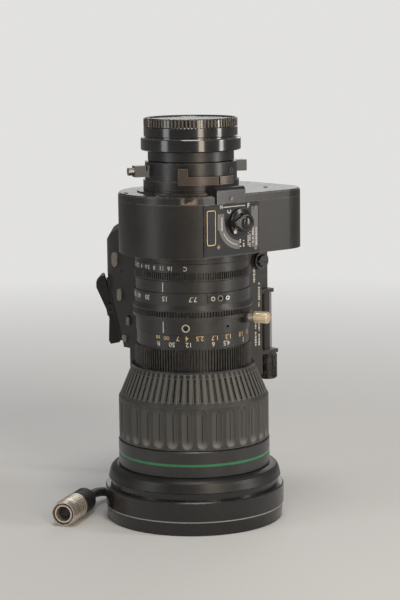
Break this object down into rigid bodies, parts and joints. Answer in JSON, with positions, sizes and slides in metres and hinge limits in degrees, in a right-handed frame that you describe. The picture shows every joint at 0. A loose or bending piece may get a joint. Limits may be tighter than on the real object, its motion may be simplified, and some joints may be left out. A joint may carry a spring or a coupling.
{
  "type": "broadcast zoom lens",
  "caption": "Hand-held broadcast zoom lens standing on its hood, with focus, zoom and iris rings, extender housing, servo drive grip, hand strap, rear cap and a plugged lead.",
  "frame": {"origin": "on the optical axis at the plane of the hood rim, on which the lens stands", "axes": "+Z along the optical axis to the rear cap, -X to the top of the lens in use, -Y to the operator side with the extender knob, +Y to the drive unit"},
  "size_m": [0.1949, 0.179, 0.254],
  "materials": {
    "hood": "glossy black lacquer with worn edges",
    "hood_adapter": "satin black",
    "front_barrel": "satin black with a green stripe",
    "front_retainer": "matte black",
    "front_lens": "coated glass",
    "inner_lenses": "coated glass",
    "focus_ring": "satin black with engraved numbers",
    "focus_grip": "matte grey-black rubber",
    "focus_cell": "black anodised",
    "focus_lens": "coated glass",
    "main_barrel": "black anodised",
    "focus_index_ring": "satin black",
    "zoom_index_ring": "satin black",
    "zoom_ring": "satin black with engraved numbers",
    "zoom_plate": "dark satin",
    "zoom_lever": "satin brass with a knurled knob",
    "zoom_cam_tube": "bare aluminium",
    "variator_cell": "black anodised",
    "variator_lens": "coated glass",
    "compensator_cell": "black anodised",
    "compensator_lens": "coated glass",
    "guide_rods": "ground steel",
    "iris_ring": "satin black with engraved numbers",
    "iris_blades": "matte black",
    "extender_housing": "satin black with rubbed edges",
    "extender_lid": "satin black with rubbed edges",
    "lid_block": "satin black",
    "control_plate": "dark grey with a light printed arc",
    "extender_knob": "black",
    "extender_turret": "black anodised",
    "extender_lens": "coated glass",
    "cover_screws": "dark steel",
    "rear_tube": "satin black",
    "macro_ring": "satin black",
    "flange_back_ring": "satin black",
    "lock_screw": "dark steel",
    "rear_mount": "dark anodised",
    "rear_cap": "glossy black",
    "drive_case": "satin black",
    "drive_cover": "satin black",
    "zoom_rocker": "black rubber-coated",
    "return_button": "dark brown-black",
    "record_button": "dark brown-black",
    "iris_button": "black",
    "iris_switch": "light grey",
    "servo_knob": "black",
    "speed_knob": "dark ribbed metal",
    "zoom_motor": "bare metal",
    "zoom_drive_gear": "machined brass",
    "iris_motor": "bare metal",
    "iris_drive_gear": "machined brass",
    "circuit_board": "green solder mask",
    "strap_brackets": "satin black",
    "hand_strap": "black webbing",
    "strap_pad": "black leather",
    "cable_gland": "black rubber",
    "lead": "black cable jacket",
    "plug_boot": "black rubber",
    "plug_shell": "satin nickel",
    "plug_insert": "black"
  },
  "bodies": {
    "lens_barrel": {"hood": "hood", "hood_adapter": "hood_adapter", "front_barrel": "front_barrel", "front_retainer": "front_retainer", "front_lens": "front_lens", "inner_lenses": "inner_lenses", "main_barrel": "main_barrel", "focus_index_ring": "focus_index_ring", "zoom_index_ring": "zoom_index_ring", "guide_rods": "guide_rods", "iris_blades": "iris_blades", "extender_housing": "extender_housing", "extender_lid": "extender_lid", "lid_block": "lid_block", "control_plate": "control_plate", "cover_screws": "cover_screws", "rear_tube": "rear_tube", "rear_mount": "rear_mount", "drive_case": "drive_case", "drive_cover": "drive_cover", "zoom_motor": "zoom_motor", "iris_motor": "iris_motor", "circuit_board": "circuit_board", "strap_brackets": "strap_brackets", "hand_strap": "hand_strap", "strap_pad": "strap_pad", "cable_gland": "cable_gland", "lead": "lead", "plug_boot": "plug_boot", "plug_shell": "plug_shell", "plug_insert": "plug_insert"},
    "focus_group": {"focus_ring": "focus_ring", "focus_grip": "focus_grip"},
    "focus_cell_group": {"focus_cell": "focus_cell", "focus_lens": "focus_lens"},
    "zoom_group": {"zoom_ring": "zoom_ring", "zoom_plate": "zoom_plate", "zoom_lever": "zoom_lever", "zoom_cam_tube": "zoom_cam_tube"},
    "variator_group": {"variator_cell": "variator_cell", "variator_lens": "variator_lens"},
    "compensator_group": {"compensator_cell": "compensator_cell", "compensator_lens": "compensator_lens"},
    "iris_group": {"iris_ring": "iris_ring"},
    "extender_knob_body": {"extender_knob": "extender_knob"},
    "turret_group": {"extender_turret": "extender_turret", "extender_lens": "extender_lens"},
    "macro_body": {"macro_ring": "macro_ring"},
    "flange_back_body": {"flange_back_ring": "flange_back_ring"},
    "lock_screw_body": {"lock_screw": "lock_screw"},
    "rear_cap_body": {"rear_cap": "rear_cap"},
    "rocker_body": {"zoom_rocker": "zoom_rocker"},
    "return_button_body": {"return_button": "return_button"},
    "record_button_body": {"record_button": "record_button"},
    "iris_button_body": {"iris_button": "iris_button"},
    "iris_switch_body": {"iris_switch": "iris_switch"},
    "servo_knob_body": {"servo_knob": "servo_knob"},
    "speed_knob_body": {"speed_knob": "speed_knob"},
    "zoom_gear_body": {"zoom_drive_gear": "zoom_drive_gear"},
    "iris_gear_body": {"iris_drive_gear": "iris_drive_gear"}
  },
  "joints": [
    {"name": "focus_turn", "type": "hinge", "parent": "lens_barrel", "child": "focus_group", "pos_m": [0, 0, 0.088], "axis": [0, 0, 1], "range_deg": [-110, 0]},
    {"name": "focus_slide", "type": "slide", "parent": "lens_barrel", "child": "focus_cell_group", "axis": [0, 0, 1], "range_m": [-0.0081, 0.0001]},
    {"name": "zoom_turn", "type": "hinge", "parent": "lens_barrel", "child": "zoom_group", "pos_m": [0, 0, 0.139], "axis": [0, 0, 1], "range_deg": [-29, 50]},
    {"name": "variator_slide", "type": "slide", "parent": "lens_barrel", "child": "variator_group", "axis": [0, 0, 1], "range_m": [-0.0075, 0.0128]},
    {"name": "compensator_slide", "type": "slide", "parent": "lens_barrel", "child": "compensator_group", "axis": [0, 0, 1], "range_m": [-0.0036, 0.0022]},
    {"name": "zoom_gear_spin", "type": "hinge", "parent": "lens_barrel", "child": "zoom_gear_body", "pos_m": [0.02366, 0.0445, 0.1347], "axis": [0, 0, 1], "range_deg": [-141.5, 82.5]},
    {"name": "iris_turn", "type": "hinge", "parent": "lens_barrel", "child": "iris_group", "pos_m": [0, 0, 0.16], "axis": [0, 0, 1], "range_deg": [-16, 58]},
    {"name": "iris_gear_spin", "type": "hinge", "parent": "lens_barrel", "child": "iris_gear_body", "pos_m": [0.04686, 0.01433, 0.1585], "axis": [0, 0, 1], "range_deg": [-170, 47.5]},
    {"name": "extender_knob_turn", "type": "hinge", "parent": "lens_barrel", "child": "extender_knob_body", "pos_m": [0.005, -0.041, 0.1908], "axis": [0, -1, 0], "range_deg": [0, 90]},
    {"name": "turret_swing", "type": "hinge", "parent": "lens_barrel", "child": "turret_group", "pos_m": [0.019, 0, 0.187], "axis": [0, 0, 1], "range_deg": [0, 180.5]},
    {"name": "macro_turn", "type": "hinge", "parent": "lens_barrel", "child": "macro_body", "pos_m": [0, 0, 0.213], "axis": [0, 0, 1], "range_deg": [0, 40]},
    {"name": "flange_back_turn", "type": "hinge", "parent": "lens_barrel", "child": "flange_back_body", "pos_m": [0, 0, 0.221], "axis": [0, 0, 1], "range_deg": [-6, 6]},
    {"name": "lock_screw_turn", "type": "hinge", "parent": "flange_back_body", "child": "lock_screw_body", "pos_m": [-0.03195, 0.01163, 0.2215], "axis": [-0.9397, 0.342, 0], "range_deg": [0, 180]},
    {"name": "rear_cap_slide", "type": "slide", "parent": "lens_barrel", "child": "rear_cap_body", "axis": [0, 0, 1], "range_m": [0, 0.03]},
    {"name": "rocker_tilt", "type": "hinge", "parent": "lens_barrel", "child": "rocker_body", "pos_m": [0.00254, 0.08801, 0.12365], "axis": [-0.6428, -0.766, 0], "range_deg": [-7, 7], "stiffness_Nm_per_rad": 0.3},
    {"name": "return_button_press", "type": "slide", "parent": "lens_barrel", "child": "return_button_body", "axis": [1, 0, 0], "range_m": [0, 0.0008], "stiffness_N_per_m": 300},
    {"name": "record_button_press", "type": "slide", "parent": "lens_barrel", "child": "record_button_body", "axis": [1, 0, 0], "range_m": [0, 0.0008], "stiffness_N_per_m": 300},
    {"name": "iris_button_press", "type": "slide", "parent": "lens_barrel", "child": "iris_button_body", "axis": [1, 0, 0], "range_m": [0, 0.0008], "stiffness_N_per_m": 300},
    {"name": "iris_switch_slide", "type": "slide", "parent": "lens_barrel", "child": "iris_switch_body", "axis": [0, 0, 1], "range_m": [0, 0.003]},
    {"name": "servo_knob_turn", "type": "hinge", "parent": "lens_barrel", "child": "servo_knob_body", "pos_m": [0.0497, -0.01, 0.16], "axis": [0, -1, 0], "range_deg": [0, 90]},
    {"name": "speed_knob_turn", "type": "hinge", "parent": "lens_barrel", "child": "speed_knob_body", "pos_m": [0.0606, -0.0036, 0.09], "axis": [0, 0, 1], "range_deg": [0, 270]}
  ],
  "couplings": [
    {"joint": "focus_slide", "follows": "focus_turn", "m_per_rad": 0.004167},
    {"joint": "variator_slide", "follows": "zoom_turn", "m_per_rad": 0.0145},
    {"joint": "compensator_slide", "follows": "zoom_turn", "m_per_rad": -0.004},
    {"joint": "zoom_gear_spin", "follows": "zoom_turn", "ratio": -2.8182},
    {"joint": "iris_gear_spin", "follows": "iris_turn", "ratio": -2.92},
    {"joint": "turret_swing", "follows": "extender_knob_turn", "ratio": 2}
  ]
}
